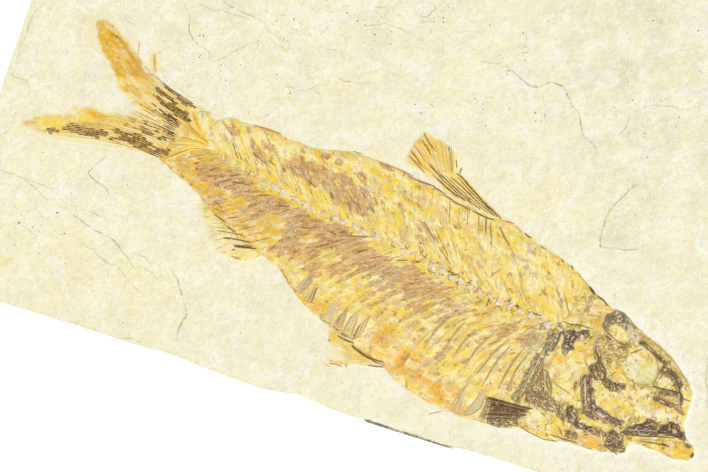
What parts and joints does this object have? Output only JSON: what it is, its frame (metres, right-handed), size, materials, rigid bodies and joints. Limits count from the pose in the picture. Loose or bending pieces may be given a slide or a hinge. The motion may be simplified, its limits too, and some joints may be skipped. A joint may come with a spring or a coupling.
{
  "type": "fossil fish slab",
  "caption": "Small herring-like fossil fish, pressed flat and complete with its forked tail, fixed on a rectangular tile of pale laminated limestone that lies flat on its back.",
  "frame": {"origin": "middle of the bounding box at the slab's flat back, which is the surface it rests on", "axes": "+X along the slab's length, from the fish's tail towards its head; +Y along the width, from the belly side towards the back fin side; +Z out of the face that shows the fish"},
  "size_m": [0.1278, 0.087, 0.0099],
  "materials": {
    "limestone": "pale cream laminated limestone, dry and matt, faintly mottled",
    "fossil_film": "thin golden yellow to mauve brown film of fossilised flesh and scales, matt",
    "fossil_bone": "fossil bone from pale grey to dark brown, satin",
    "fin_film": "thin yellow-orange fin film with dark brown rays, matt"
  },
  "bodies": {
    "root": {"slab": "limestone", "skull": "fossil_bone", "gill_cover": "fossil_film", "upper_jaw": "fossil_bone", "lower_jaw": "fossil_bone", "throat_bones": "fossil_bone", "shoulder_girdle": "fossil_bone", "pectoral_fin": "fin_film", "backbone": "fossil_bone", "upper_flank": "fossil_film", "lower_flank": "fossil_film", "belly_scutes": "fossil_bone", "pelvic_fin": "fin_film", "anal_fin": "fin_film", "dorsal_fin": "fin_film", "tail_fin_upper_lobe": "fin_film", "tail_fin_lower_lobe": "fin_film"}
  },
  "joints": []
}
